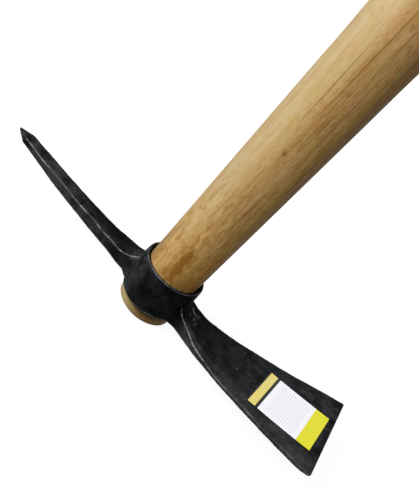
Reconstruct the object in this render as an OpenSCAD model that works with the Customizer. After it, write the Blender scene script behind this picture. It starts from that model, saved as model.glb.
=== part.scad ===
// Small pick mattock: a forged head with a pick and an adze blade, wedged on a round wooden handle.
// Frame: origin at the middle of the handle's lower end, +Z along the handle to the grip, +X to the blade.

/* [Handle] */
// Length of the handle, from its lower end to the end of the grip
handle_length = 900; // [500:10:1200]
// Diameter of the straight grip
grip_d = 41.5; // [37:0.5:46]
// Diameter of the tenon, the stretch that goes through the eye
tenon_d = 35; // [31:0.5:36]
// Height above the lower end at which the taper reaches the grip's diameter
taper_top = 220; // [120:5:400]
// Length of wood that shows below the eye
end_below_eye = 8; // [5:0.5:15]
// How far the wedge spreads the lower end, on the radius
end_spread = 0.7; // [0.3:0.1:1.5]
// Height over which the spread runs out inside the eye
spread_height = 6; // [3:0.5:10]
// Bevel round the lower end
end_bevel = 1; // [0.3:0.1:2]
// Rounding of the grip's end
grip_round = 9; // [2:0.5:15]

/* [Eye] */
// Height of the collar round the eye
eye_height = 26; // [22:0.5:40]
// Thickness of the collar's wall at its ends
eye_wall = 2.9; // [2.4:0.1:6]
// How far the collar's outside swells at half its height
eye_belly = 0.5; // [0.1:0.1:1.5]
// Gap between the tenon and the eye, on the radius
eye_clearance = 0.1; // [0.05:0.05:0.3]
// How far the upper mouth of the eye opens, on the radius
mouth_flare = 1.4; // [0.4:0.1:1.8]
// Depth of that opening
mouth_depth = 5; // [2:0.5:8]
// Bevel along the collar's upper rim
rim_bevel = 0.6; // [0.2:0.1:1]
// How much lower the collar's foot lies on the pick's side than on the blade's
foot_slant = 2.8; // [0.4:0.2:4]

/* [Pick] */
// Reach of the pick, from the handle's axis to its point
pick_reach = 130; // [90:1:220]
// Width of the pick at the collar, before the lean and the fillets
pick_root_w = 15.8; // [10:0.2:20]
// Thickness of the pick at the collar, before the fillets
pick_root_t = 9; // [5:0.2:14]
// Width of the pick where its point starts
pick_tip_w = 9.4; // [5:0.2:14]
// Thickness of the pick where its point starts
pick_tip_t = 4.3; // [2.5:0.1:8]
// Length of the four-sided point
pick_point = 9.5; // [6:0.5:25]
// How much further out the point starts on the pick's underside
point_slant = 1.3; // [0:0.1:3]
// Width across the blunt end of the point
pick_blunt = 1; // [0.5:0.1:2.5]
// How far the pick's root lies below the middle of the eye
pick_drop = 6.4; // [0:0.1:8]
// How far the point rises above the root
pick_lift = 7.6; // [0:0.2:20]
// How far each side of the pick leans in at the collar, on the upper face
pick_draft = 2.5; // [0:0.1:4]
// Distance from the collar at which that lean runs out
pick_draft_run = 20; // [8:1:40]
// Radius of the fillets that lead the pick's sides into the collar
pick_side_fillet = 9; // [3:1:30]
// Radius of the fillet between the pick's upper face and the collar
pick_top_fillet = 17; // [6:0.5:24]
// Radius of the fillet under the pick
pick_under_fillet = 3.5; // [1:0.5:8]

/* [Blade] */
// Reach of the blade, from the handle's axis to its cutting edge
blade_reach = 132.7; // [90:0.1:220]
// Width of the cutting edge
edge_w = 79.4; // [50:0.1:110]
// Width of the neck between the collar and the blade
neck_w = 18.6; // [12:0.1:22]
// Length of the neck before it fans out
neck_length = 3; // [1:0.5:12]
// Length over which the neck's sides turn into the fan
neck_ease = 4; // [1:0.5:10]
// How far each side of the neck leans in at the collar, on the upper face
neck_draft = 1.8; // [0:0.1:5]
// Thickness of the blade
blade_t = 3.2; // [2:0.1:8]
// How far the lowest place of the blade's face lies below the middle of the eye
blade_drop = 5.7; // [0:0.1:8]
// Distance of that place from the collar
blade_low = 25; // [15:1:40]
// How far the cutting edge rises above it
blade_lift = 14.4; // [0:0.2:30]
// How far the face climbs from it to the collar
neck_rise = 4; // [1:0.2:9]
// Distance from the collar at which that climb and the sides' lean start
neck_run = 32; // [20:1:60]
// How far the underside drops to the collar
neck_sag = 3.2; // [0:0.2:6]
// Radius of the fillet between the blade's face and the collar
neck_top_fillet = 8; // [3:0.5:12]
// Radius of the fillets that lead the neck's sides into the collar
neck_fillet = 4; // [1:0.5:14]
// Length of the bevel under the cutting edge
edge_bevel = 5; // [3:0.5:15]
// Thickness left at the cutting edge
edge_t = 1.8; // [0.5:0.1:2]
// Rounding of the cutting edge's two corners
edge_corner = 1.5; // [1:0.5:6]
// Rounding along the long edges of the pick and the blade
arris = 0.6; // [0.3:0.1:1.2]

/* [Wedges] */
// Depth of the wooden wedge
wood_wedge_depth = 27; // [18:1:40]
// Thickness of the wooden wedge at the lower end
wood_wedge_t = 5; // [3:0.5:8]
// Thickness of the wooden wedge at its thin end
wood_wedge_tip = 1.2; // [0.8:0.1:2]
// Depth of the steel wedge
steel_wedge_depth = 18; // [10:1:24]
// Width of the steel wedge
steel_wedge_w = 22; // [14:1:26]
// Thickness of the steel wedge at the lower end
steel_wedge_t = 3.2; // [2:0.2:5]
// Thickness of the steel wedge at its thin end
steel_wedge_tip = 0.8; // [0.5:0.1:1.5]
// Gap between a wedge and the slot it is driven into
wedge_clearance = 0.05; // [0.02:0.01:0.15]

/* [Hidden] */
$fn = 96;
tenon_r = tenon_d / 2;
grip_r = grip_d / 2;
spread_r = tenon_r + end_spread;
bore_r = tenon_r + eye_clearance;
eye_foot = end_below_eye;
eye_top = eye_foot + eye_height;
eye_mid = (eye_foot + eye_top) / 2;
foot_low = eye_foot - foot_slant / 2;
collar_r = bore_r + eye_wall;
// How far a cut runs past the face it opens
past = 1;
// How far the arms reach into the collar before the eye is cut
arm_start = bore_r - 4;
pick_steps = 30;
blade_steps = 42;
corner_steps = 2;
flare_power = 0.82;
sweep_power = 1.4;
// Share of a fillet's radius over which it runs along an arm
fillet_ratio = 0.9;
// The same for the pick's upper fillet, which meets the collar in a notch
notch_ratio = 0.78;

// Share of a run-out that is left at distance x from the axis: 1 at the collar, 0 from its end on
function run_out(x, length) = pow(max(0, 1 - (max(x, collar_r) - collar_r) / length), 2);

// Height of an arc of radius r at a distance from where it starts
function arc_rise(r, distance) = r - sqrt(r * r - pow(min(distance, fillet_ratio * r), 2));

// What a fillet in plan adds to a side that lies half a width from the middle, tangent to side and collar
function side_fillet(x, half, r) =
    let (centre = sqrt(pow(collar_r + r, 2) - pow(half + r, 2)))
    let (tangent = centre * collar_r / (collar_r + r))
    arc_rise(r, max(0, centre - max(x, tangent)));

// What a fillet between an arm's upper or lower face and the collar adds, up to where the collar is half wide
function face_fillet(x, half, r, ratio) =
    let (wall = sqrt(collar_r * collar_r - half * half))
    arc_rise(r, max(0, wall + ratio * r - max(x, wall)));

// Trapezium with rounded corners at distance x, w_low wide at its foot and w_high wide at its top
function section(x, w_low, w_high, low, high) =
    let (r = min(arris, w_high * 0.3, (high - low) * 0.3))
    let (y_low = w_low / 2 - r, y_high = w_high / 2 - r)
    let (upper = [[y_high, high - r, 0], [-y_high, high - r, 90]])
    let (lower = [[-y_low, low + r, 180], [y_low, low + r, 270]])
    [for (corner = concat(upper, lower))
        for (i = [0 : corner_steps])
            let (angle = corner[2] + 90 * i / corner_steps)
            [x, corner[0] + r * cos(angle), corner[1] + r * sin(angle)]];

// Distances of the sections, closer together near the collar
function stations(reach, steps) =
    [for (i = [0 : steps]) arm_start + (reach - arm_start) * pow(i / steps, 1.35)];

// Pick: straight tapers, sides that flare at their foot into the collar, and a parabola for the rise
function pick_share(x) = max(0, x - collar_r) / (pick_reach - pick_point - collar_r);
function pick_w(x) = pick_root_w + (pick_tip_w - pick_root_w) * pick_share(x);
function pick_top_w(x) = pick_w(x) - 2 * pick_draft * run_out(x, pick_draft_run);
function pick_foot_w(x) = pick_w(x) + 2 * side_fillet(x, pick_root_w / 2, pick_side_fillet);
function pick_t(x) = pick_root_t + (pick_tip_t - pick_root_t) * pick_share(x);
function pick_z(x) = eye_mid - pick_drop
    + pick_lift * pow(max(0, x - collar_r) / (pick_reach - collar_r), 2);
function pick_low(x) = pick_z(x) - pick_t(x) / 2 - face_fillet(x, 0, pick_under_fillet, fillet_ratio);
function pick_high(x) = pick_z(x) + pick_t(x) / 2
    + face_fillet(x, pick_root_w / 2, pick_top_fillet, notch_ratio);

// Blade: a neck that fans out, a face that dips and rises again, and a bevel under the edge
neck_x = collar_r + neck_length;
low_x = collar_r + blade_low;
bevel_x = blade_reach - edge_bevel;
function eased(d) = (d + sqrt(d * d + neck_ease * neck_ease)) / 2;
function fan(x) = pow(eased(x - neck_x) / eased(blade_reach - neck_x), flare_power);
function corner_cut(x) =
    let (s = max(0, x - blade_reach + edge_corner) / edge_corner)
    2 * edge_corner * (1 - sqrt(1 - min(1, s * s)));
function blade_w(x) = neck_w + (edge_w - neck_w) * fan(x) - corner_cut(x);
function blade_top_w(x) = blade_w(x) - 2 * neck_draft * run_out(x, neck_run);
function blade_foot_w(x) = blade_w(x) + 2 * side_fillet(x, neck_w / 2, neck_fillet);
function sweep_z(x) = eye_mid - blade_drop
    + blade_lift * pow(max(0, x - low_x) / (blade_reach - low_x), sweep_power);
function face_z(x) = sweep_z(x) + neck_rise * run_out(x, neck_run)
    + face_fillet(x, neck_w / 2, neck_top_fillet, fillet_ratio);
function under_z(x) = sweep_z(x) - blade_t - neck_sag * run_out(x, blade_low)
    + (blade_t - edge_t) * max(0, x - bevel_x) / edge_bevel;

// Closed solid through a row of sections that have the same number of points
module loft(rings) {
    sides = len(rings[0]);
    last = len(rings) - 1;
    points = [for (ring = rings) each ring];
    walls = [for (k = [0 : last - 1], i = [0 : sides - 1])
        let (a = k * sides + i, b = k * sides + (i + 1) % sides)
        each [[a, a + sides, b], [b, a + sides, b + sides]]];
    first_cap = [for (i = [1 : sides - 2]) [0, i, i + 1]];
    last_cap = [for (i = [1 : sides - 2]) [last * sides, last * sides + i + 1, last * sides + i]];
    polyhedron(points = points, faces = concat(first_cap, walls, last_cap));
}

module pick_arm() {
    shoulder = pick_reach - pick_point;
    point_z = pick_z(pick_reach);
    // Towards the point the sections lean, with their foot further out
    body = [for (x = stations(shoulder, pick_steps))
        let (lean = point_slant * pick_share(x) / pick_t(x))
        [for (p = section(x, pick_foot_w(x), pick_top_w(x), pick_low(x), pick_high(x)))
            [p[0] + lean * (pick_high(x) - p[2]), p[1], p[2]]]];
    point = section(pick_reach, pick_blunt, pick_blunt, point_z - pick_blunt / 2, point_z + pick_blunt / 2);
    mirror([1, 0, 0]) loft(concat(body, [point]));
}

module blade_arm() {
    corner_x = blade_reach - edge_corner;
    rows = stations(corner_x, blade_steps);
    corner = [for (i = [1 : 4]) corner_x + edge_corner * sin(90 * i / 4)];
    loft([for (x = concat(rows, corner))
        section(x, blade_foot_w(x), blade_top_w(x), under_z(x), face_z(x))]);
}

// Room under the collar's foot, which slants up from the pick's side to the blade's
module foot_cut() {
    side = 4 * collar_r;
    translate([0, 0, eye_foot])
    rotate([0, -atan(foot_slant / 2 / collar_r), 0])
    translate([-side / 2, -side / 2, -side])
    cube(side);
}

// Outside of the collar, swollen at half its height, with a bevelled upper rim
module collar() {
    swell = [for (i = [0 : 12])
        let (s = i / 6 - 1)
        [collar_r + eye_belly * (1 - s * s), eye_mid + s * (eye_height / 2 - rim_bevel)]];
    outline = concat([[0, foot_low - past], [collar_r, foot_low - past]], swell,
        [[collar_r - rim_bevel, eye_top], [0, eye_top]]);
    difference() {
        rotate_extrude() polygon(outline);
        foot_cut();
    }
}

// Room for the tenon: straight in the middle, wider at the upper mouth and over the spread end
module eye_bore() {
    translate([0, 0, foot_low - 2 * past]) cylinder(r = bore_r, h = eye_top - foot_low + 3 * past);
    translate([0, 0, foot_low - 2 * past])
        cylinder(r = spread_r + eye_clearance, h = eye_foot - foot_low + 2 * past);
    translate([0, 0, eye_top - mouth_depth])
        cylinder(r1 = bore_r, r2 = bore_r + mouth_flare, h = mouth_depth);
    translate([0, 0, eye_foot])
        cylinder(r1 = spread_r + eye_clearance, r2 = bore_r, h = spread_height);
}

module head() {
    color("#1d2022")
    difference() {
        union() {
            collar();
            pick_arm();
            blade_arm();
        }
        eye_bore();
    }
}

// Wedge with its thick end at height 0, tapering in Y
module wedge(width, thick, tip, depth) {
    rotate([90, 0, 90])
    translate([0, 0, -width / 2])
    linear_extrude(width)
    polygon([[-thick / 2, 0], [thick / 2, 0], [tip / 2, depth], [-tip / 2, depth]]);
}

// Turned shape of the handle
module turned_handle() {
    grip_end = [for (i = [0 : 8])
        [grip_r - grip_round * (1 - cos(90 * i / 8)), handle_length - grip_round * (1 - sin(90 * i / 8))]];
    rotate_extrude()
    polygon(concat(
        [[0, 0], [spread_r - end_bevel, 0], [spread_r, end_bevel], [spread_r, eye_foot]],
        [[tenon_r, eye_foot + spread_height], [tenon_r, eye_top], [grip_r, taper_top]],
        grip_end,
        [[0, handle_length]]));
}

// Slot for a wedge, open at the lower end
module wedge_slot(width, thick, tip, depth) {
    gap = 2 * wedge_clearance;
    wedge(width + gap, thick + gap, tip + gap, depth + wedge_clearance);
    translate([-width / 2 - wedge_clearance, -thick / 2 - wedge_clearance, -past])
        cube([width + gap, thick + gap, past]);
}

module wood_wedge_slot() {
    wedge_slot(2 * spread_r + 2 * past, wood_wedge_t, wood_wedge_tip, wood_wedge_depth);
}

module steel_wedge_slot() {
    rotate([0, 0, 90]) wedge_slot(steel_wedge_w, steel_wedge_t, steel_wedge_tip, steel_wedge_depth);
}

module handle() {
    color("#c39a62")
    difference() {
        turned_handle();
        wood_wedge_slot();
        steel_wedge_slot();
    }
}

module wood_wedge() {
    color("#d8b987")
    difference() {
        intersection() {
            wedge(2 * spread_r, wood_wedge_t, wood_wedge_tip, wood_wedge_depth);
            turned_handle();
        }
        steel_wedge_slot();
    }
}

module steel_wedge() {
    color("#8a8d90")
    rotate([0, 0, 90]) wedge(steel_wedge_w, steel_wedge_t, steel_wedge_tip, steel_wedge_depth);
}

head();
handle();
wood_wedge();
steel_wedge();
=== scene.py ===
import math
import bpy
from mathutils import Matrix, Vector, kdtree, noise


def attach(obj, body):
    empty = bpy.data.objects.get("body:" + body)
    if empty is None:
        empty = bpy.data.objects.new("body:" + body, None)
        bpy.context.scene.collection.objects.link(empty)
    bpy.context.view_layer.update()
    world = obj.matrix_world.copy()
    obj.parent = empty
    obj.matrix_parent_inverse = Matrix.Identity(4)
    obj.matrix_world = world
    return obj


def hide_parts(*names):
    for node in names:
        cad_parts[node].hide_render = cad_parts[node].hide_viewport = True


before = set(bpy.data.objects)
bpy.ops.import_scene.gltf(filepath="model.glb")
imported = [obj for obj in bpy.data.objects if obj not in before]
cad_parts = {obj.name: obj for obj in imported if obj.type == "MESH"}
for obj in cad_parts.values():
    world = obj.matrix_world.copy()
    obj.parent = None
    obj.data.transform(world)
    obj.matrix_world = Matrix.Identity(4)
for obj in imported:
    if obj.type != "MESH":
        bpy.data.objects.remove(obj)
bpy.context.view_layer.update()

# Pick mattock: a forged black head, a round wooden handle with its wedges, and a paper sticker.
# The settings give lengths in millimetres, and mm turns them into Blender's metres.
# Unless a note says otherwise, four numbers are a span: its start and end, and what it gives at either.
mm = 0.001
print("frame loaded:", ", ".join(sorted(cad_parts)))


def linearColour(code):
    # sRGB hex, as a colour picker shows it, to the linear light that Blender counts in
    parts = [int(code[i:i + 2], 16) / 255 for i in (1, 3, 5)]
    linear = [p / 12.92 if p <= 0.04045 else ((p + 0.055) / 1.055) ** 2.4 for p in parts]
    return (*linear, 1.0)


def setInputs(tree, node, inputs):
    # values, hex colours, sockets or whole nodes, by the name or number of the socket they go to
    for place, value in inputs.items():
        if isinstance(value, str):
            value = linearColour(value)
        if isinstance(value, bpy.types.Node):
            value = next(s for s in value.outputs if s.enabled)
        if isinstance(value, bpy.types.NodeSocket):
            tree.links.new(value, node.inputs[place])
        else:
            node.inputs[place].default_value = value


def addNode(tree, kind, inputs=None, stops=None, span=None, unit=1.0, **settings):
    # stops are a ramp's places and colours, and a span starts and ends so many units along
    node = tree.nodes.new("ShaderNode" + kind)
    for name, value in settings.items():
        setattr(node, name, value)
    setInputs(tree, node, inputs or {})
    if span:
        start, end, low, high = span
        ends = {"From Min": start * unit, "From Max": end * unit, "To Min": low, "To Max": high}
        setInputs(tree, node, ends)
    for i, (place, colour) in enumerate(stops or []):
        ramp = node.color_ramp.elements
        stop = ramp[i] if i < 2 else ramp.new(place)
        stop.position = place
        stop.color = linearColour(colour) if isinstance(colour, str) else colour
    return node


def newMaterial(name):
    material = bpy.data.materials.new(name)
    material.use_nodes = True
    return material, material.node_tree, material.node_tree.nodes["Principled BSDF"]


def pickUp(piece):
    # the operators act on all that is selected, and the frame's own nodes are after loading
    bpy.ops.object.select_all(action="DESELECT")
    piece.select_set(True)
    bpy.context.view_layer.objects.active = piece


def useModifier(piece, name, kind, **settings):
    modifier = piece.modifiers.new(name, kind)
    for key, value in settings.items():
        setattr(modifier, key, value)
    bpy.ops.object.modifier_apply(modifier=name)


# Camera: where the photograph was taken from, worked out from the outline of the head and the handle
cameraPlace = {
    "place": (36.17, -350.83, 253.26),
    "yaw": 4.827,  # to the left of looking along +Y, in degrees
    "tilt": 28.964,  # down from the horizon
    "roll": 43.793,  # anticlockwise
    "focal": 50.4,  # with a 36 mm sensor
    "nearest": 10,
    "farthest": 50000,
}


def makeCamera():
    data = bpy.data.cameras.new("photoCamera")
    data.lens = cameraPlace["focal"]
    data.clip_start = cameraPlace["nearest"] * mm
    data.clip_end = cameraPlace["farthest"] * mm
    camera = bpy.data.objects.new("photoCamera", data)
    bpy.context.scene.collection.objects.link(camera)
    yaw, tilt, roll = (math.radians(cameraPlace[a]) for a in ("yaw", "tilt", "roll"))
    turn = Matrix.Rotation(yaw, 4, "Z")
    turn = turn @ Matrix.Rotation(math.pi / 2 - tilt, 4, "X") @ Matrix.Rotation(roll, 4, "Z")
    camera.matrix_world = Matrix.Translation(Vector(cameraPlace["place"]) * mm) @ turn
    bpy.context.scene.camera = camera


makeCamera()
print("camera set")

# Studio: a white floor, a large soft lamp from the pick's side, and weaker ones above, in front and behind
studio = {
    "floorSize": 8000,
    "floorDrop": 0.2,  # below the handle's lower end
    "floorColour": "#6c6c6c",
    "floorRoughness": 0.9,
    "glowColour": "#ffffff",
    # what the floor adds for the eye, by distance: it shows white, with a faint shadow and no corners
    "floorGlow": (500, 1400, 0.91, 1),
    "worldColour": "#ffffff",
    "worldLevel": 0.21,
    "aim": (20, 0, 60),
    # kind, place, size and power; a point lamp shines all ways, so that its edge doesn't show on the floor
    "lamps": {
        "keyLamp": ("AREA", (-800, -680, 760), 700, 16.4),
        "topLamp": ("AREA", (160, -260, 1300), 900, 2.5),
        "frontLamp": ("AREA", (440, -1000, 520), 800, 4.2),
        "backLamp": ("POINT", (-120, 1150, 120), 600, 32),
    },
}


def seenByEye(tree):
    # 1 for what the camera sees, straight on, mirrored or through glass, and 0 for the light on the object
    path = addNode(tree, "LightPath")
    seen = path.outputs["Is Camera Ray"]
    for ray in ("Is Glossy Ray", "Is Transmission Ray"):
        seen = addNode(tree, "Math", {0: seen, 1: path.outputs[ray]}, operation="MAXIMUM")
    return seen


def makeFloor():
    bpy.ops.object.select_all(action="DESELECT")
    height = -studio["floorDrop"] * mm
    bpy.ops.mesh.primitive_plane_add(size=studio["floorSize"] * mm, location=(0, 0, height))
    floor = bpy.context.active_object
    floor.name = "studioFloor"
    material, tree, bsdf = newMaterial("paleStudioFloor")
    spot = addNode(tree, "TexCoord").outputs["Object"]
    distance = addNode(tree, "VectorMath", {0: spot}, operation="LENGTH")
    glow = addNode(tree, "MapRange", {"Value": distance}, span=studio["floorGlow"], unit=mm)
    glow = addNode(tree, "Math", {0: seenByEye(tree), 1: glow}, operation="MULTIPLY")
    setInputs(tree, bsdf, {
        "Base Color": studio["floorColour"],
        "Roughness": studio["floorRoughness"],
        "Specular IOR Level": 0.0,
        "Emission Color": studio["glowColour"],
        "Emission Strength": glow,
    })
    # from below the floor is clear, so that the underside can be looked at
    below = addNode(tree, "NewGeometry").outputs["Backfacing"]
    clear = addNode(tree, "MixShader", {0: below, 1: bsdf, 2: addNode(tree, "BsdfTransparent")})
    setInputs(tree, tree.nodes["Material Output"], {"Surface": clear})
    floor.data.materials.append(material)


def addLamp(name, kind, place, size, power):
    data = bpy.data.lights.new(name, kind)
    if kind == "AREA":
        data.shape = "DISK"
        data.size = size * mm
    else:
        data.shadow_soft_size = size / 2 * mm
    data.energy = power
    lamp = bpy.data.objects.new(name, data)
    bpy.context.scene.collection.objects.link(lamp)
    lamp.location = Vector(place) * mm
    aim = Vector(studio["aim"]) * mm - lamp.location
    lamp.rotation_euler = aim.to_track_quat("-Z", "Y").to_euler()


def lightStudio():
    world = bpy.data.worlds.new("studioWorld")
    bpy.context.scene.world = world
    world.use_nodes = True
    tree = world.node_tree
    level = addNode(tree, "MapRange", {"Value": seenByEye(tree)}, span=(0, 1, studio["worldLevel"], 1))
    setInputs(tree, tree.nodes["Background"], {"Color": studio["worldColour"], "Strength": level})
    for name, lamp in studio["lamps"].items():
        addLamp(name, *lamp)
    bpy.context.scene.view_settings.view_transform = "Standard"


makeFloor()
lightStudio()
print("studio lit")

# Head: drop forged steel, so its edges are rounded and its skin has shallow die marks and scale pits
headShape = {
    "mergeReach": 0.005,
    "voxel": 0.54,
    "easing": 0.5,
    "easingRounds": 2,
    "marks": {"hammerMarks": (26, 0.7), "dieMarks": (8, 0.3), "scalePits": (1.6, 0.09)},  # size and depth
    "markDetail": 2,
    "markLevel": 0.55,  # of the clouds that make the marks, where the skin stays as it is
    "boreRadius": 19.4,  # inside this the eye's wall stays plain
    "tipReach": 126,  # beyond this the point and the cutting edge keep their size
    "sharp": 40,  # degrees between two faces that meet in an edge the paint wears off
    "edgeStep": 0.5,
    "wearReach": 0.9,
    "wearWander": 1.3,  # how far the worn line strays from the edge
    "wanderLength": 13,
    "rimRadius": 20.3,  # the collar's bevelled rim, whose worn line the paint draws by itself
    "rimHeight": 33.6,
    "rimBreadth": 1,
    "rimDepth": 2,
    # where the forging swells: middle and reach along X, side, the height it stops at, and how far it moves
    "swells": [
        (-30, 16, 1, 40, (0, 1.1, 1.2)),
        (24, 12, 1, 40, (1.3, 2.0, 0)),
        (37, 17, -1, 16, (0, -1.7, 0)),
        (-27, 9, -1, 40, (-0.4, -1.0, 0)),
        (112, 17, 1, 40, (0, 0.8, 0)),
    ],
    "swellStart": 1,  # how far from the middle plane a swell begins
    "swellBlend": 3,  # over which a swell fades out towards the collar, the middle and its height
}


def sharpEdgePlaces(mesh):
    # places in short steps along the edges that stand out, but for the bore's and the rim's
    faces = {}
    for face in mesh.polygons:
        for key in face.edge_keys:
            faces.setdefault(key, []).append(face)
    limit = math.cos(math.radians(headShape["sharp"]))
    bore = headShape["boreRadius"] * mm
    rimOut = (headShape["rimRadius"] + headShape["rimBreadth"]) * mm
    rimFoot = (headShape["rimHeight"] - headShape["rimDepth"]) * mm
    places = []
    for key, pair in faces.items():
        if len(pair) != 2 or pair[0].normal.dot(pair[1].normal) > limit:
            continue
        if (pair[1].center - pair[0].center).dot(pair[0].normal) > 0:
            continue
        a, b = (mesh.vertices[i].co for i in key)
        onRim = min(a.z, b.z) > rimFoot and a.xy.length < rimOut
        if onRim or max(a.xy.length, b.xy.length) < bore:
            continue
        steps = max(1, round((b - a).length / (headShape["edgeStep"] * mm)))
        places += [a.lerp(b, i / steps) for i in range(steps + 1)]
    return places


def rising(value, start):
    # 0 up to start, then up to 1 over the blend
    return min(1.0, max(0.0, (value / mm - start) / headShape["swellBlend"]))


def swollen(place):
    moved = place.copy()
    for middle, reach, side, top, move in headShape["swells"]:
        along = max(0.0, 1 - ((place.x / mm - middle) / reach) ** 2) ** 2
        outside = rising(place.xy.length, headShape["rimRadius"])
        beside = rising(side * place.y, headShape["swellStart"])
        under = 1 - rising(place.z, top - headShape["swellBlend"])
        moved += Vector(move) * mm * (along * outside * beside) * under
    return moved


def forgeHead():
    head = bpy.data.objects.new("forgedHead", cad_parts["head"].data.copy())
    bpy.context.scene.collection.objects.link(head)
    head.data.materials.clear()
    pickUp(head)
    bpy.ops.object.mode_set(mode="EDIT")
    bpy.ops.mesh.select_all(action="SELECT")
    bpy.ops.mesh.remove_doubles(threshold=headShape["mergeReach"] * mm)
    bpy.ops.object.mode_set(mode="OBJECT")
    edgePlaces = [swollen(place) for place in sharpEdgePlaces(head.data)]
    for v in head.data.vertices:
        v.co = swollen(v.co)
    useModifier(head, "skin", "REMESH", mode="VOXEL", voxel_size=headShape["voxel"] * mm)
    useModifier(head, "easing", "SMOOTH", factor=headShape["easing"], iterations=headShape["easingRounds"])
    outside = head.vertex_groups.new(name="outside")
    bore, tip = headShape["boreRadius"] * mm, headShape["tipReach"] * mm
    marked = [v.index for v in head.data.vertices if v.co.xy.length > bore and abs(v.co.x) < tip]
    outside.add(marked, 1.0, "REPLACE")
    for name, (size, depth) in headShape["marks"].items():
        clouds = bpy.data.textures.new(name, "CLOUDS")
        clouds.noise_scale = size * mm
        clouds.noise_depth = headShape["markDetail"]
        useModifier(head, name, "DISPLACE", texture=clouds, texture_coords="LOCAL", strength=depth * mm,
                    mid_level=headShape["markLevel"], vertex_group="outside")
    bpy.ops.object.shade_smooth()
    noteWornEdges(head, edgePlaces)
    return head


def noteWornEdges(head, edgePlaces):
    # how near the skin lies to a line that wavers along the edges, 1 on the line: the paint is worn by this
    length = headShape["wanderLength"] * mm
    line = kdtree.KDTree(len(edgePlaces))
    for i, place in enumerate(edgePlaces):
        stray = noise.noise_vector(place / length) * headShape["wearWander"] * mm
        line.insert(head.closest_point_on_mesh(place + stray)[1], i)
    line.balance()
    reach = headShape["wearReach"] * mm
    near = [max(0.0, 1 - line.find(v.co)[2] / reach) for v in head.data.vertices]
    head.data.attributes.new("edgeNear", "FLOAT", "POINT").data.foreach_set("value", near)


# Black paint, sprayed on forged steel and baked: nearly black with a dull satin sheen, greyer and dustier
# out along the pick and the blade, with a painted sheen on the collar's left side, down the pick's near
# side and along the near edge of the blade and the neck, rubbed to grey steel along the sharp edges and
# freckled with small chips
paintLook = {
    "colour": "#060708",
    "thinColour": "#0b0d10",
    "dustAndSheenColour": "#353738",
    "steelColour": "#888b8e",
    # size and detail; the grain is about twice as coarse as the real orange peel, so that it shows
    "patterns": {"mottle": (9, 4), "scuffs": (3.5, 5), "grain": (0.7, 2), "breaks": (3.5, 4)},
    "chipWidth": 1.5,
    "chipLength": 4.2,  # across the head
    "chipDetail": 4,
    "chipTurn": 0.6,  # radians that the stretched pattern is turned by
    "thinning": (0.4, 0.7, 0, 1),
    # how dusty the paint is along X, from the pick's point to the cutting edge; partly dust and partly
    # painted sheen, and the peak at -19 is a painted sheen on the collar's left side
    "reach": 130,
    "dustAndSheen": [(-130, 0.46), (130, 0.42), (-88, 0.62), (-60, 0.26), (-34, 0.05), (-19, 0.45), (0, 0.15),
             (22, 0.12), (32, 0.05), (75, 0.27)],
    "unevenDust": (0.36, 0.64, 0.25, 1.6),
    "scuffedDust": (0.5, 0.76, 0.85, 2.0),
    # the near edge is lighter along the blade and the neck, partly scuffs and partly painted sheen, by the
    # share of their half width
    "halfWidth": (0.31, -1.9),  # growth along X, and what it would be at the handle's axis
    "onBlade": (48, 70, 0, 1),
    "bladeEdgeScuffAndSheen": (-0.5, -0.95, 0, 0.4),
    "onNeck": (58, 44, 0, 1),
    "pastCollar": (24, 30, 0, 1),
    "neckEdgeScuffAndSheen": (-0.94, -1.0, 0, 0.45),
    # the pick is darker on its far side by the root, and lighter down its near side with a painted sheen
    "onPick": (-30, -42, 0, 1),
    "pickRoot": (-90, -66, 0, 1),
    "rootDust": (-4, 4, 1.5, 0),
    "otherDust": 1.15,
    "pickNearSheen": (-4.5, -6, 0, 0.3),
    # bare steel along the edges, round the rim, in chips and where the blade and the pick meet the collar
    "ridge": (0.3, 0.9, 0, 1),
    "ridgeFading": (45, 110, 0.9, 0.22),
    "rimLine": (0.55, 0.2, 0, 0.4),
    "wearGaps": (0.36, 0.62, 0.22, 0.85),
    "chipped": (0.68, 0.8, 0, 0.5),
    "rubbedPlaces": [(27, 2.7, 19), (-24, -5.0, 24)],
    "rubbed": (5.5, 1.5, 0, 1),
    "rubbedStreaks": (0.48, 0.62, 0, 0.55),
    "roughness": (0.3, 0.7, 0.42, 0.58),
    "specular": 0.0035,
    "grainStrength": 0.3,
    "grainDepth": 0.06,
}


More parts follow.
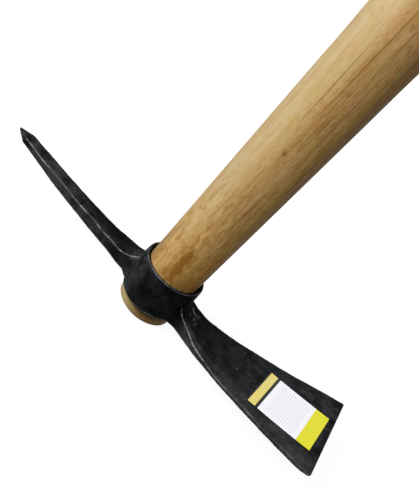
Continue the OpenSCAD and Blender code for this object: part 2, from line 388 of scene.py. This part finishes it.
def paintDustAndSheen(tree, at):
    # how much dust and painted sheen lie on the paint, from 0 to 1
    x, y, reach = at["x"], at["y"], paintLook["reach"]
    outward = addNode(tree, "MapRange", {"Value": x}, span=(-reach, reach, 0, 1), unit=mm)
    dustAndSheen = addNode(tree, "ValToRGB", {"Fac": outward}, [
        ((place + reach) / (2 * reach), (level, level, level, 1)) for place, level in paintLook["dustAndSheen"]])
    uneven = addNode(tree, "MapRange", {"Value": at["mottle"]}, span=paintLook["unevenDust"])
    dustAndSheen = addNode(tree, "Math", {0: dustAndSheen, 1: uneven}, operation="MULTIPLY")
    growth, start = paintLook["halfWidth"]
    halfWidth = addNode(tree, "Math", {0: x, 1: growth, 2: start * mm}, operation="MULTIPLY_ADD")
    share = addNode(tree, "Math", {0: y, 1: halfWidth}, operation="DIVIDE")
    # lighter lanes along the near edge of the blade and the neck: partly scuffs, partly painted sheen
    for scuffed, bands in (("bladeEdgeScuffAndSheen", ["onBlade"]), ("neckEdgeScuffAndSheen", ["pastCollar", "onNeck"])):
        lane = addNode(tree, "MapRange", {"Value": share}, span=paintLook[scuffed])
        for band in bands:
            along = addNode(tree, "MapRange", {"Value": x}, span=paintLook[band], unit=mm)
            lane = addNode(tree, "Math", {0: lane, 1: along}, operation="MULTIPLY")
        dustAndSheen = addNode(tree, "Math", {0: dustAndSheen, 1: lane}, operation="ADD")
    # by the pick's root the mix fades on the far side, so that side is darker
    onPick = addNode(tree, "MapRange", {"Value": x}, span=paintLook["onPick"], unit=mm)
    root = addNode(tree, "MapRange", {"Value": x}, span=paintLook["pickRoot"], unit=mm)
    root = addNode(tree, "Math", {0: root, 1: onPick}, operation="MULTIPLY")
    rootDust = addNode(tree, "MapRange", {"Value": y}, span=paintLook["rootDust"], unit=mm)
    rootSides = addNode(tree, "Mix", {0: root, 2: paintLook["otherDust"], 3: rootDust})
    dustAndSheen = addNode(tree, "Math", {0: dustAndSheen, 1: rootSides}, operation="MULTIPLY")
    # painted sheen down the pick's near side
    lane = addNode(tree, "MapRange", {"Value": y}, span=paintLook["pickNearSheen"], unit=mm)
    lane = addNode(tree, "Math", {0: lane, 1: onPick}, operation="MULTIPLY")
    dustAndSheen = addNode(tree, "Math", {0: dustAndSheen, 1: lane}, operation="ADD")
    scuffed = addNode(tree, "MapRange", {"Value": at["scuffs"]}, span=paintLook["scuffedDust"])
    return addNode(tree, "Math", {0: dustAndSheen, 1: scuffed}, operation="MULTIPLY", use_clamp=True)


def bareSteel(tree, at):
    # how far the paint is worn through to the steel, from 0 to 1
    spot = at["spot"]
    edge = addNode(tree, "Attribute", attribute_name="edgeNear").outputs["Fac"]
    ridge = addNode(tree, "MapRange", {"Value": edge}, span=paintLook["ridge"])
    fading = addNode(tree, "MapRange", {"Value": at["x"]}, span=paintLook["ridgeFading"], unit=mm)
    ridge = addNode(tree, "Math", {0: ridge, 1: fading}, operation="MULTIPLY")
    # the rim's worn line runs round its bevel
    fromAxis = addNode(tree, "Mapping", {"Vector": spot, "Scale": (1, 1, 0)})
    fromAxis = addNode(tree, "VectorMath", {0: fromAxis}, operation="LENGTH")
    rim = (headShape["rimRadius"] * mm, 0, headShape["rimHeight"] * mm)
    fromRim = addNode(tree, "CombineXYZ", {"X": fromAxis, "Z": at["z"]})
    fromRim = addNode(tree, "VectorMath", {0: fromRim, 1: rim}, operation="DISTANCE")
    rimLine = addNode(tree, "MapRange", {"Value": fromRim}, span=paintLook["rimLine"], unit=mm)
    ridge = addNode(tree, "Math", {0: ridge, 1: rimLine}, operation="MAXIMUM")
    gaps = addNode(tree, "MapRange", {"Value": at["breaks"]}, span=paintLook["wearGaps"])
    bare = addNode(tree, "Math", {0: ridge, 1: gaps}, operation="MULTIPLY")
    wide, long = 1 / (paintLook["chipWidth"] * mm), 1 / (paintLook["chipLength"] * mm)
    chips = addNode(tree, "Mapping", {"Vector": spot, "Rotation": (0, 0, paintLook["chipTurn"]),
                                      "Scale": (wide, long, wide)})
    chips = addNode(tree, "TexNoise", {"Vector": chips, "Scale": 1.0, "Detail": paintLook["chipDetail"]})
    chips = addNode(tree, "MapRange", {"Value": chips}, span=paintLook["chipped"])
    bare = addNode(tree, "Math", {0: bare, 1: chips}, operation="MAXIMUM")
    streaks = addNode(tree, "MapRange", {"Value": at["scuffs"]}, span=paintLook["rubbedStreaks"])
    for place in paintLook["rubbedPlaces"]:
        away = addNode(tree, "VectorMath", {0: spot, 1: [c * mm for c in place]}, operation="DISTANCE")
        rubbed = addNode(tree, "MapRange", {"Value": away}, span=paintLook["rubbed"], unit=mm)
        rubbed = addNode(tree, "Math", {0: rubbed, 1: streaks}, operation="MULTIPLY")
        bare = addNode(tree, "Math", {0: bare, 1: rubbed}, operation="MAXIMUM")
    return bare


def blackForgePaint():
    material, tree, bsdf = newMaterial("blackForgePaint")
    spot = addNode(tree, "TexCoord").outputs["Object"]
    parts = addNode(tree, "SeparateXYZ", {0: spot})
    at = {"spot": spot, "x": parts.outputs["X"], "y": parts.outputs["Y"], "z": parts.outputs["Z"]}
    for name, (size, detail) in paintLook["patterns"].items():
        at[name] = addNode(tree, "TexNoise", {"Vector": spot, "Scale": 1 / (size * mm), "Detail": detail})
    thin = addNode(tree, "MapRange", {"Value": at["mottle"]}, span=paintLook["thinning"])
    dustAndSheen, bare = paintDustAndSheen(tree, at), bareSteel(tree, at)
    colour = paintLook["colour"]
    for share, over in ((thin, "thinColour"), (dustAndSheen, "dustAndSheenColour"), (bare, "steelColour")):
        colour = addNode(tree, "Mix", {0: share, 6: colour, 7: paintLook[over]}, data_type="RGBA")
    setInputs(tree, bsdf, {
        "Base Color": colour,
        "Roughness": addNode(tree, "MapRange", {"Value": at["mottle"]}, span=paintLook["roughness"]),
        "Metallic": bare,
        "Specular IOR Level": paintLook["specular"],
        "Normal": addNode(tree, "Bump", {"Height": at["grain"], "Strength": paintLook["grainStrength"],
                                         "Distance": paintLook["grainDepth"] * mm}),
    })
    return material


forgedHead = forgeHead()
forgedHead.data.materials.append(blackForgePaint())
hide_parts("head")
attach(forgedHead, "root")
print("head forged:", len(forgedHead.data.polygons), "faces")


def grainNoise(tree, spot, width, length, detail, curl=0.0):
    # a pattern whose features lie so far apart across and along the grain
    across, along = 1 / (width * mm), 1 / (length * mm)
    place = addNode(tree, "Mapping", {"Vector": spot, "Scale": (across, across, along)})
    return addNode(tree, "TexNoise", {"Vector": place, "Scale": 1.0, "Detail": detail, "Distortion": curl})


# Handle wood: a light hardwood, turned, sanded and oiled. Plain tan on the pick's side, browner towards
# the blade, partly the wood's colour and partly painted shade, with short brown flecks along the grain,
# faint streaks, a small knot, and darker blotches where hands and oil have darkened it above the collar.
# Painted shade darkens the side that turns away towards the blade, the pick's edge by the rim, the wood
# under the collar's slanting foot and the lower end's edge. The lower end shows growth rings.
woodLook = {
    "drift": 3,  # how far the grain wanders sideways
    "driftPattern": (60, 240, 2),
    # width, length, detail and curl
    "patterns": {
        "flecks": (0.9, 6, 3, 0.0),
        "lines": (1.2, 60, 2, 0.0),
        "streaks": (4, 45, 3, 0.0),
        "fibres": (0.7, 3.4, 3, 0.0),
        "patches": (3.2, 10, 3, 0.6),
        "mottles": (2.8, 8.5, 4, 1.0),
        "tints": (7, 13, 2, 0.0),
    },
    "bladeSide": (-10, 3.5, 0, 1),  # 0 on the pick's side, 1 on the blade's
    # plain wood: a tone made of streaks, fibres, the side and a curly figure, and the colours it gives; the
    # side makes it browner towards the blade, partly the wood's colour and partly painted shade
    "tone": 0.3,
    "streakTone": 0.35,
    "fibreTone": (0, 1, 0.2, 0.6),  # the fibres show less on the pick's side
    "sideTone": 0.3,
    "curlTone": (125, 40, 0.26, 1.1),  # the figure curls most above the collar
    "toneColours": [(0.36, "#c3ae87"), (0.86, "#a37b45"), (0.58, "#b49766")],
    # olive and rosy
    "tintColours": [("#b29a55", (0.52, 0.66, 0, 0.24)), ("#c09468", (0.48, 0.34, 0, 0.22))],
    "fleckColour": "#6e4c24",
    "fleckGate": (0, 1, 0.7, 0.56),  # fewer on the pick's side
    "fleckDepths": {"flecks": (0, 0.12, 0, 0.55), "lines": (-0.05, 0.09, 0, 0.6)},
    # stain above the collar, lighter on the pick's side, with dark and pale spots
    "stain": (105, 34, 0, 0.75),
    "stainColours": ("#bb9150", "#aa8040"),
    "spotted": (118, 48, 0, 1),
    "spotColours": [("#7a5014", (0.52, 0.68, 0, 0.5)), ("#c9a560", (0.47, 0.32, 0, 0.55))],
    # dark patches, a blot and a darkening by the rim on the blade's side, all of one colour
    "patchColour": "#7a5014",
    "patched": (80, 34, 0, 1),
    "patchDepth": (0.46, 0.6, 0, 0.6),
    "patchSide": (0, 1, 0.35, 1),
    "blotPlace": (2.2, -17.5, 46),
    "blotSize": (2.4, 3.0, 24),
    "blotRagged": -2.2,  # how much the mottles tear its outline
    "blotDepth": (0.1, -0.55, 0, 0.85),
    "rimDarkening": (47, 35.5, 0, 0.62),
    "rimDarkeningSide": (0, 1, 0.05, 1),
    # fibres chafed pale by the mouth of the eye
    "chafedColour": "#dcc496",
    "mouth": (35.2, 34.2, 0, 1),
    "torn": (0.5, 0.64, 0, 0.35),
    # painted shade: a dark band down the side towards the blade, where it turns away from the light, and a
    # darker edge by the rim on the pick's side
    "sideShadeColour": "#40290c",
    "turnedAwayShade": (12.5, 19.5, 0, 0.64),
    "pickEdgeShade": (-11, -16, 0, 1),
    "pickEdgeShadeHeight": (64, 46, 0, 0.34),
    # the wood that stands out below the eye, with painted shade under the collar's slanting foot
    "endTop": 8,
    "endBlend": 1,
    "endShare": 0.75,
    "endBrowning": (-11, 5, 0, 1),
    "endColours": ("#9e976a", "#684e2f"),
    "footShadeColour": "#33281a",
    "footShadeShare": 0.8,
    "footShadeHeight": 2.4,
    "footShadeSpread": 2.6,  # how much higher it stands towards the blade
    "footShadeLimit": 11,  # no painted shade above this
    "footSlope": 0.068,
    "arris": (1.6, 0.3, 0, 0.55),  # painted shade along the edge of the lower end
    "knotColour": "#64451f",
    "knotPlace": (1.8, -18.8, 137.5),
    "knotSize": (1.0, 1.0, 1.5),
    "knotDepth": (1.6, 0.5, 0, 0.7),
    # growth rings on the sawn ends, round a pith that lies outside the handle
    "pith": (46, -30),
    "ringWidth": 3.2,
    "ringFibres": 0.5,
    "ringColours": [(0.3, "#c8a873"), (0.916667, "#8d6838")],
    "sawn": (0.75, 0.95, 0, 1),
    "roughness": (0, 1, 0.46, 0.64),
    "specular": 0.06,
    "fleckRelief": -0.8,
    "reliefStrength": 0.35,
    "reliefDepth": 0.1,
}


def driftingGrain(tree, spot):
    wander = grainNoise(tree, spot, *woodLook["driftPattern"]).outputs["Color"]
    wander = addNode(tree, "VectorMath", {0: wander, 1: (0.5, 0.5, 0.5)}, operation="SUBTRACT")
    shift = 2 * woodLook["drift"] * mm
    wander = addNode(tree, "VectorMath", {0: wander, 1: (shift, shift, 0)}, operation="MULTIPLY")
    return addNode(tree, "VectorMath", {0: spot, 1: wander}, operation="ADD")


def awayFrom(tree, spot, place, size):
    # how far a spot lies from a place, counted in that size
    away = addNode(tree, "VectorMath", {0: spot, 1: [c * mm for c in place]}, operation="SUBTRACT")
    away = addNode(tree, "VectorMath", {0: away, 1: [c * mm for c in size]}, operation="DIVIDE")
    return addNode(tree, "VectorMath", {0: away}, operation="LENGTH")


def plainWood(tree, at):
    tone = addNode(tree, "Math", {0: at["streaks"], 1: woodLook["streakTone"]}, operation="MULTIPLY")
    fibre = addNode(tree, "Math", {0: at["fibres"], 1: 0.5}, operation="SUBTRACT")
    strength = addNode(tree, "MapRange", {"Value": at["side"]}, span=woodLook["fibreTone"])
    fibre = addNode(tree, "Math", {0: fibre, 1: strength, 2: woodLook["tone"]}, operation="MULTIPLY_ADD")
    tone = addNode(tree, "Math", {0: tone, 1: fibre}, operation="ADD")
    # browner towards the blade: partly the wood's colour, partly painted shade
    tone = addNode(tree, "Math", {0: at["side"], 1: woodLook["sideTone"], 2: tone},
                   operation="MULTIPLY_ADD")
    figure = addNode(tree, "Math", {0: at["mottles"], 1: 0.5}, operation="SUBTRACT")
    strength = addNode(tree, "MapRange", {"Value": at["z"]}, span=woodLook["curlTone"], unit=mm)
    tone = addNode(tree, "Math", {0: figure, 1: strength, 2: tone}, operation="MULTIPLY_ADD")
    colour = addNode(tree, "ValToRGB", {"Fac": tone}, woodLook["toneColours"])
    for tint, span in woodLook["tintColours"]:
        share = addNode(tree, "MapRange", {"Value": at["tints"]}, span=span)
        colour = addNode(tree, "Mix", {0: share, 6: colour, 7: tint}, data_type="RGBA")
    return colour


def woodFlecks(tree, at):
    gate = addNode(tree, "MapRange", {"Value": at["side"]}, span=woodLook["fleckGate"])
    depths = []
    for name, span in woodLook["fleckDepths"].items():
        depth = addNode(tree, "Math", {0: at[name], 1: gate}, operation="SUBTRACT")
        depths.append(addNode(tree, "MapRange", {"Value": depth}, span=span))
    return addNode(tree, "Math", {0: depths[0], 1: depths[1]}, operation="MAXIMUM")


def stainedByHands(tree, at, colour):
    pickStain, bladeStain = woodLook["stainColours"]
    stain = addNode(tree, "MapRange", {"Value": at["z"]}, span=woodLook["stain"], unit=mm)
    stained = addNode(tree, "Mix", {0: at["side"], 6: pickStain, 7: bladeStain}, data_type="RGBA")
    colour = addNode(tree, "Mix", {0: stain, 6: colour, 7: stained}, data_type="RGBA")
    spotted = addNode(tree, "MapRange", {"Value": at["z"]}, span=woodLook["spotted"], unit=mm)
    for spotColour, span in woodLook["spotColours"]:
        spots = addNode(tree, "MapRange", {"Value": at["mottles"]}, span=span)
        spots = addNode(tree, "Math", {0: spots, 1: spotted}, operation="MULTIPLY")
        colour = addNode(tree, "Mix", {0: spots, 6: colour, 7: spotColour}, data_type="RGBA")
    return colour


def patchedByRim(tree, at, colour):
    patch = addNode(tree, "MapRange", {"Value": at["patches"]}, span=woodLook["patchDepth"])
    low = addNode(tree, "MapRange", {"Value": at["z"]}, span=woodLook["patched"], unit=mm)
    patch = addNode(tree, "Math", {0: low, 1: patch}, operation="MULTIPLY")
    beside = addNode(tree, "MapRange", {"Value": at["side"]}, span=woodLook["patchSide"])
    patch = addNode(tree, "Math", {0: patch, 1: beside}, operation="MULTIPLY")
    blot = awayFrom(tree, at["spot"], woodLook["blotPlace"], woodLook["blotSize"])
    ragged = woodLook["blotRagged"]
    blot = addNode(tree, "Math", {0: at["mottles"], 1: ragged, 2: blot}, operation="MULTIPLY_ADD")
    blot = addNode(tree, "MapRange", {"Value": blot}, span=woodLook["blotDepth"])
    patch = addNode(tree, "Math", {0: patch, 1: blot}, operation="MAXIMUM")
    rimDarkening = addNode(tree, "MapRange", {"Value": at["z"]}, span=woodLook["rimDarkening"], unit=mm)
    beside = addNode(tree, "MapRange", {"Value": at["side"]}, span=woodLook["rimDarkeningSide"])
    rimDarkening = addNode(tree, "Math", {0: rimDarkening, 1: beside}, operation="MULTIPLY")
    patch = addNode(tree, "Math", {0: patch, 1: rimDarkening}, operation="MAXIMUM")
    colour = addNode(tree, "Mix", {0: patch, 6: colour, 7: woodLook["patchColour"]}, data_type="RGBA")
    mouth = addNode(tree, "MapRange", {"Value": at["z"]}, span=woodLook["mouth"], unit=mm)
    torn = addNode(tree, "MapRange", {"Value": at["mottles"]}, span=woodLook["torn"])
    chafed = addNode(tree, "Math", {0: mouth, 1: torn}, operation="MULTIPLY")
    return addNode(tree, "Mix", {0: chafed, 6: colour, 7: woodLook["chafedColour"]}, data_type="RGBA")


# painted shade in one dark colour: where the handle turns away towards the blade, and along the pick's edge
# by the rim
def paintedSideShade(tree, at, colour):
    turnedAway = addNode(tree, "MapRange", {"Value": at["x"]}, span=woodLook["turnedAwayShade"], unit=mm,
                    interpolation_type="SMOOTHSTEP")
    edge = addNode(tree, "MapRange", {"Value": at["x"]}, span=woodLook["pickEdgeShade"], unit=mm)
    byRim = addNode(tree, "MapRange", {"Value": at["z"]}, span=woodLook["pickEdgeShadeHeight"], unit=mm)
    edge = addNode(tree, "Math", {0: edge, 1: byRim}, operation="MULTIPLY")
    dark = addNode(tree, "Math", {0: turnedAway, 1: edge}, operation="MAXIMUM")
    return addNode(tree, "Mix", {0: dark, 6: colour, 7: woodLook["sideShadeColour"]}, data_type="RGBA")


def lowerEnd(tree, at, colour):
    top, blend = woodLook["endTop"], woodLook["endBlend"]
    below = addNode(tree, "MapRange", {"Value": at["z"]}, unit=mm,
                    span=(top + blend, top - blend, 0, woodLook["endShare"]))
    pickTone, bladeTone = woodLook["endColours"]
    browner = addNode(tree, "MapRange", {"Value": at["x"]}, span=woodLook["endBrowning"], unit=mm)
    tone = addNode(tree, "Mix", {0: browner, 6: pickTone, 7: bladeTone}, data_type="RGBA")
    colour = addNode(tree, "Mix", {0: below, 6: colour, 7: tone}, data_type="RGBA")
    # painted shade under the collar's slanting foot, standing higher towards the blade
    slope, spread = woodLook["footSlope"], woodLook["footShadeSpread"] * mm
    level = addNode(tree, "Math", {0: at["x"], 1: -slope, 2: at["z"]}, operation="MULTIPLY_ADD")
    level = addNode(tree, "Math", {0: browner, 1: spread, 2: level}, operation="MULTIPLY_ADD")
    footShade = addNode(tree, "MapRange", {"Value": level}, unit=mm,
                   span=(top - woodLook["footShadeHeight"], top, 0, woodLook["footShadeShare"]))
    # painted shade along the lower end's edge, deeper towards the blade
    arris = addNode(tree, "MapRange", {"Value": at["z"]}, span=woodLook["arris"], unit=mm)
    arris = addNode(tree, "Math", {0: arris, 1: browner}, operation="MULTIPLY")
    footShade = addNode(tree, "Math", {0: footShade, 1: arris}, operation="MAXIMUM")
    under = addNode(tree, "Math", {0: at["z"], 1: woodLook["footShadeLimit"] * mm}, operation="LESS_THAN")
    footShade = addNode(tree, "Math", {0: footShade, 1: under}, operation="MULTIPLY")
    return addNode(tree, "Mix", {0: footShade, 6: colour, 7: woodLook["footShadeColour"]}, data_type="RGBA")


def growthRings(tree, at, grainSpot):
    x, y = woodLook["pith"]
    fromPith = addNode(tree, "Mapping", {"Vector": grainSpot, "Scale": (1, 1, 0),
                                         "Location": (-x * mm, -y * mm, 0)})
    ring = addNode(tree, "VectorMath", {0: fromPith}, operation="LENGTH")
    ring = addNode(tree, "Math", {0: ring, 1: 1 / (woodLook["ringWidth"] * mm)}, operation="MULTIPLY")
    ring = addNode(tree, "Math", {0: ring}, operation="FRACT")
    ring = addNode(tree, "Math", {0: at["fibres"], 1: woodLook["ringFibres"], 2: ring},
                   operation="MULTIPLY_ADD")
    return addNode(tree, "ValToRGB", {"Fac": ring}, woodLook["ringColours"])


def turnedHandleWood():
    material, tree, bsdf = newMaterial("turnedHardwood")
    coords = addNode(tree, "TexCoord")
    spot = coords.outputs["Object"]
    grainSpot = driftingGrain(tree, spot)
    parts = addNode(tree, "SeparateXYZ", {0: spot})
    at = {"spot": spot, "x": parts.outputs["X"], "z": parts.outputs["Z"]}
    at["side"] = addNode(tree, "MapRange", {"Value": at["x"]}, span=woodLook["bladeSide"], unit=mm,
                         interpolation_type="SMOOTHSTEP")
    for name, shape in woodLook["patterns"].items():
        at[name] = grainNoise(tree, grainSpot, *shape)
    flecks = woodFlecks(tree, at)
    colour = plainWood(tree, at)
    colour = addNode(tree, "Mix", {0: flecks, 6: colour, 7: woodLook["fleckColour"]}, data_type="RGBA")
    for layer in (stainedByHands, patchedByRim, paintedSideShade, lowerEnd):
        colour = layer(tree, at, colour)
    knot = awayFrom(tree, spot, woodLook["knotPlace"], woodLook["knotSize"])
    knot = addNode(tree, "MapRange", {"Value": knot}, span=woodLook["knotDepth"])
    colour = addNode(tree, "Mix", {0: knot, 6: colour, 7: woodLook["knotColour"]}, data_type="RGBA")
    facing = addNode(tree, "SeparateXYZ", {0: coords.outputs["Normal"]})
    facing = addNode(tree, "Math", {0: facing.outputs["Z"]}, operation="ABSOLUTE")
    sawn = addNode(tree, "MapRange", {"Value": facing}, span=woodLook["sawn"])
    rings = growthRings(tree, at, grainSpot)
    colour = addNode(tree, "Mix", {0: sawn, 6: colour, 7: rings}, data_type="RGBA")
    relief = addNode(tree, "Math", {0: flecks, 1: woodLook["fleckRelief"], 2: at["fibres"]},
                     operation="MULTIPLY_ADD")
    setInputs(tree, bsdf, {
        "Base Color": colour,
        "Roughness": addNode(tree, "MapRange", {"Value": at["fibres"]}, span=woodLook["roughness"]),
        "Specular IOR Level": woodLook["specular"],
        "Normal": addNode(tree, "Bump", {"Height": relief, "Strength": woodLook["reliefStrength"],
                                         "Distance": woodLook["reliefDepth"] * mm}),
    })
    return material


# Wedge wood: pale sawn beech, crossed by the fine marks of the saw
wedgeLook = {
    "fibres": (0.4, 9, 3),  # width, length and detail
    "fibreColours": [(0.3, "#dcc394"), (0.75, "#b28f5a")],
    "roughness": 0.75,
    "specular": 0.15,
    "sawPitch": 0.9,
    "sawWaver": 1.5,
    "sawRelief": 0.5,
    "reliefStrength": 0.5,
    "reliefDepth": 0.1,
}
waveScale = 0.314  # of a wave pattern that repeats once in each unit


def sawnWedgeWood():
    material, tree, bsdf = newMaterial("sawnBeech")
    spot = addNode(tree, "TexCoord").outputs["Object"]
    fibres = grainNoise(tree, spot, *wedgeLook["fibres"])
    marks = addNode(tree, "TexWave", {"Vector": spot, "Scale": waveScale / (wedgeLook["sawPitch"] * mm),
                                      "Distortion": wedgeLook["sawWaver"]}, bands_direction="X")
    relief = addNode(tree, "Math", {0: marks.outputs["Fac"], 1: wedgeLook["sawRelief"], 2: fibres},
                     operation="MULTIPLY_ADD")
    setInputs(tree, bsdf, {
        "Base Color": addNode(tree, "ValToRGB", {"Fac": fibres}, wedgeLook["fibreColours"]),
        "Roughness": wedgeLook["roughness"],
        "Specular IOR Level": wedgeLook["specular"],
        "Normal": addNode(tree, "Bump", {"Height": relief, "Strength": wedgeLook["reliefStrength"],
                                         "Distance": wedgeLook["reliefDepth"] * mm}),
    })
    return material


# Wedge steel: plain mild steel cut from strip, grey with fine lines along it and brown specks of rust
steelLook = {
    "lines": (0.25, 12, 2),  # width, length and detail
    "lineColours": [(0.3, "#6d6f71"), (0.7, "#9a9c9e")],
    "rustColour": "#6b3f22",
    "rustSize": 3,
    "rustDetail": 5,
    "rusted": (0.58, 0.68, 0, 1),
    "roughness": (0, 1, 0.3, 0.6),
    "lineStrength": 0.3,
    "lineDepth": 0.04,
}


def cutWedgeSteel():
    material, tree, bsdf = newMaterial("cutMildSteel")
    spot = addNode(tree, "TexCoord").outputs["Object"]
    lines = grainNoise(tree, spot, *steelLook["lines"])
    rust = addNode(tree, "TexNoise", {"Vector": spot, "Scale": 1 / (steelLook["rustSize"] * mm),
                                      "Detail": steelLook["rustDetail"]})
    rust = addNode(tree, "MapRange", {"Value": rust}, span=steelLook["rusted"])
    steel = addNode(tree, "ValToRGB", {"Fac": lines}, steelLook["lineColours"])
    colour = addNode(tree, "Mix", {0: rust, 6: steel, 7: steelLook["rustColour"]}, data_type="RGBA")
    setInputs(tree, bsdf, {
        "Base Color": colour,
        "Metallic": addNode(tree, "Math", {0: 1.0, 1: rust}, operation="SUBTRACT"),
        "Roughness": addNode(tree, "MapRange", {"Value": lines}, span=steelLook["roughness"]),
        "Normal": addNode(tree, "Bump", {"Height": lines, "Strength": steelLook["lineStrength"],
                                         "Distance": steelLook["lineDepth"] * mm}),
    })
    return material


def dress(node, material):
    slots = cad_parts[node].data.materials
    slots.clear()
    slots.append(material)


dress("handle", turnedHandleWood())
dress("wood_wedge", sawnWedgeWood())
dress("steel_wedge", cutWedgeSteel())
print("handle and wedges finished")

# Sticker: coated paper on the blade, with plain bands and ruled lines and no print
stickerPlan = {
    "place": (105.2, -2.5),
    "turn": -3.4,  # degrees
    "length": 43.6,  # along the blade
    "width": 37.5,
    "columns": 56,
    "rows": 48,
    "dropHeight": 80,  # from which it is laid down on the blade
    "lift": 0.12,
    "thickness": 0.12,
    "smoothAngle": 40,
    "header": 7.5,
    "stripe": (0.7, 5.7),  # start and end along the sticker
    "footer": 9.2,
    "black": "#060505",
    "paleYellow": "#d8c870",
    "white": "#edecf2",
    "lemon": "#d9d42a",
    "lineGrey": "#c4c4ca",
    "linePitch": 1.7,
    "lineShare": 0.3,  # of the pitch
    "lineStrength": 0.55,
    "lineMargin": 3,
    "rippleSize": 6,
    "rippleDetail": 3,
    "rippleStrength": 0.3,
    "rippleDepth": 0.15,
    "roughness": (0, 1, 0.4, 0.6),
    "specular": 0.12,
}


def layStickerOnBlade():
    bpy.ops.object.select_all(action="DESELECT")
    place = [c * mm for c in (*stickerPlan["place"], stickerPlan["dropHeight"])]
    turn = math.radians(stickerPlan["turn"])
    columns, rows = stickerPlan["columns"], stickerPlan["rows"]
    bpy.ops.mesh.primitive_grid_add(x_subdivisions=columns, y_subdivisions=rows, size=1, location=place,
                                    rotation=(0, 0, turn))
    sticker = bpy.context.active_object
    sticker.name = "paperSticker"
    sticker.scale = (stickerPlan["length"] * mm, stickerPlan["width"] * mm, 1)
    bpy.ops.object.transform_apply(location=True, rotation=True, scale=True)
    useModifier(sticker, "lay", "SHRINKWRAP", target=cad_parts["head"], wrap_method="PROJECT",
                use_project_z=True, use_positive_direction=False, use_negative_direction=True,
                offset=stickerPlan["lift"] * mm)
    useModifier(sticker, "paper", "SOLIDIFY", thickness=stickerPlan["thickness"] * mm, offset=1.0)
    bpy.ops.object.shade_smooth_by_angle(angle=math.radians(stickerPlan["smoothAngle"]))
    return sticker


def ruledLines(tree, along, across, header, footer):
    # thin lines across the white field, 0 where there are none
    length, width, margin = (stickerPlan[name] for name in ("length", "width", "lineMargin"))
    lines = addNode(tree, "Math", {0: along, 1: length / stickerPlan["linePitch"]}, operation="MULTIPLY")
    lines = addNode(tree, "Math", {0: lines}, operation="FRACT")
    lines = addNode(tree, "Math", {0: lines, 1: stickerPlan["lineShare"]}, operation="LESS_THAN")
    fromMiddle = addNode(tree, "Math", {0: across, 1: 0.5}, operation="SUBTRACT")
    fromMiddle = addNode(tree, "Math", {0: fromMiddle}, operation="ABSOLUTE")
    for value, limit, test in ((fromMiddle, 0.5 - margin / width, "LESS_THAN"),
                               (along, header + margin / length, "GREATER_THAN"),
                               (along, footer - margin / length, "LESS_THAN")):
        inside = addNode(tree, "Math", {0: value, 1: limit}, operation=test)
        lines = addNode(tree, "Math", {0: lines, 1: inside}, operation="MULTIPLY")
    return addNode(tree, "Math", {0: lines, 1: stickerPlan["lineStrength"]}, operation="MULTIPLY")


# Coated label paper: flat bright bands under a soft gloss, a little uneven where the glue holds it
def printedPaper():
    material, tree, bsdf = newMaterial("printedPaper")
    coords = addNode(tree, "TexCoord")
    spot = addNode(tree, "SeparateXYZ", {0: coords.outputs["UV"]})
    along, across = spot.outputs["X"], spot.outputs["Y"]
    length = stickerPlan["length"]
    first, last = (place / length for place in stickerPlan["stripe"])
    header, footer = stickerPlan["header"] / length, 1 - stickerPlan["footer"] / length
    bands = addNode(tree, "ValToRGB", {"Fac": along}, [
        (0.0, stickerPlan["black"]), (footer, stickerPlan["lemon"]), (first, stickerPlan["paleYellow"]),
        (last, stickerPlan["black"]), (header, stickerPlan["white"])])
    bands.color_ramp.interpolation = "CONSTANT"
    lines = ruledLines(tree, along, across, header, footer)
    colour = addNode(tree, "Mix", {0: lines, 6: bands, 7: stickerPlan["lineGrey"]}, data_type="RGBA")
    ripples = addNode(tree, "TexNoise", {"Vector": coords.outputs["Object"],
                                         "Scale": 1 / (stickerPlan["rippleSize"] * mm),
                                         "Detail": stickerPlan["rippleDetail"]})
    setInputs(tree, bsdf, {
        "Base Color": colour,
        "Roughness": addNode(tree, "MapRange", {"Value": ripples}, span=stickerPlan["roughness"]),
        "Specular IOR Level": stickerPlan["specular"],
        "Normal": addNode(tree, "Bump", {"Height": ripples, "Strength": stickerPlan["rippleStrength"],
                                         "Distance": stickerPlan["rippleDepth"] * mm}),
    })
    return material


paperSticker = layStickerOnBlade()
paperSticker.data.materials.append(printedPaper())
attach(paperSticker, "root")
print("sticker laid")
